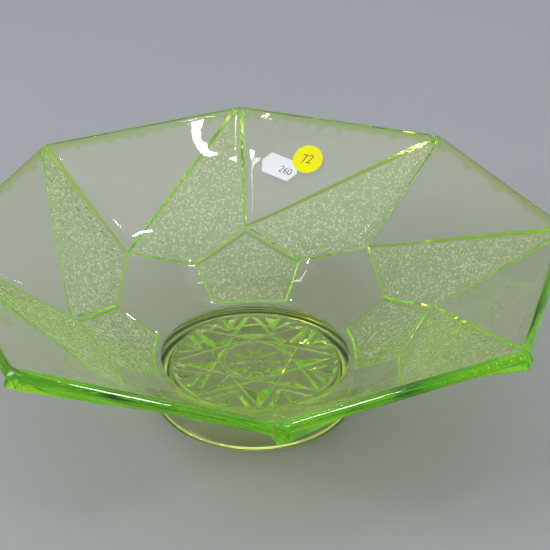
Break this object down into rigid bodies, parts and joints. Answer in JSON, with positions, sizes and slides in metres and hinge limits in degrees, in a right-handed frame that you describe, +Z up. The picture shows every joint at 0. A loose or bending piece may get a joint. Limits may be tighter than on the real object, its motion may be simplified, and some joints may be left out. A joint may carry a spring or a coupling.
{
  "type": "glass dish",
  "caption": "Shallow octagonal pressed-glass dish in green uranium glass, with stippled panels, a round foot and a star base, and two paper stickers inside.",
  "frame": {"origin": "centre of the foot ring's underside", "axes": "+Z up through the middle of the foot and the bowl; +X and +Y each point at a corner of the rim"},
  "size_m": [0.3042, 0.3042, 0.0892],
  "materials": {
    "uranium_glass": "gloss",
    "white_paper": "matte",
    "yellow_paper": "matte"
  },
  "bodies": {
    "root": {"glass_dish": "uranium_glass", "price_label": "white_paper", "lot_sticker": "yellow_paper"}
  },
  "joints": []
}
